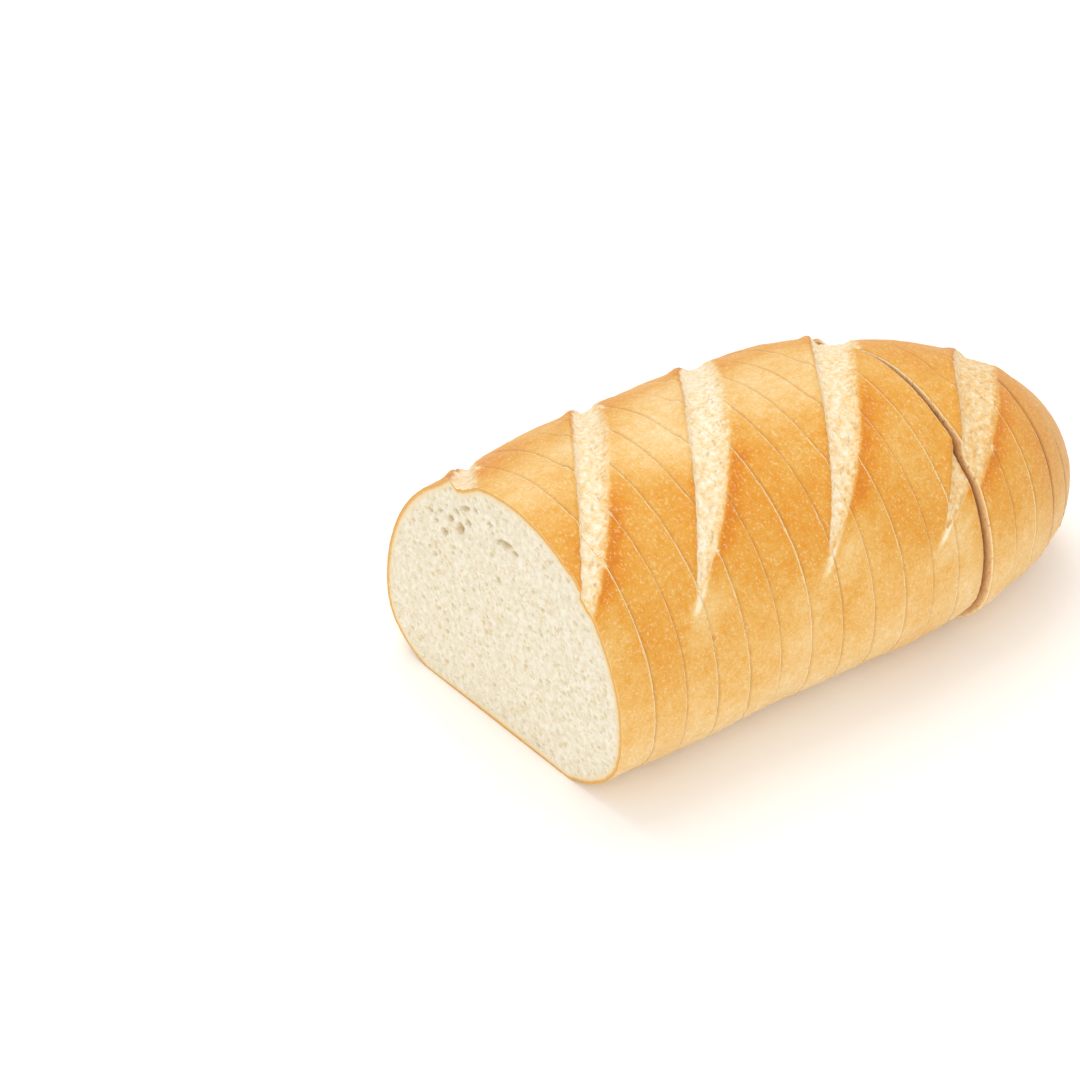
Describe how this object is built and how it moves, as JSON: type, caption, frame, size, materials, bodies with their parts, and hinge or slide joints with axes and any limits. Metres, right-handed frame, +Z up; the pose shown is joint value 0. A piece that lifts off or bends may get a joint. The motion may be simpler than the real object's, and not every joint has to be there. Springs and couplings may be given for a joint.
{
  "type": "sliced white loaf",
  "caption": "Oblong white loaf, cut into upright slices up to its rounded heel, with slanting slashes across the crust.",
  "frame": {"origin": "middle of the loaf's footprint, on the surface it stands on", "axes": "+X from the cut face to the heel, -Y the front flank, +Z up"},
  "size_m": [0.2268, 0.141, 0.0977],
  "materials": {
    "bread": "matt baked crust, golden, with pale torn slashes, round a cream crumb"
  },
  "bodies": {
    "root": {"slice_01": "bread", "slice_02": "bread", "slice_03": "bread", "slice_04": "bread", "slice_05": "bread", "slice_06": "bread", "slice_07": "bread", "slice_08": "bread", "slice_09": "bread", "slice_10": "bread", "slice_11": "bread", "slice_12": "bread", "slice_13": "bread", "slice_14": "bread", "slice_15": "bread", "slice_16": "bread", "heel": "bread"}
  },
  "joints": []
}
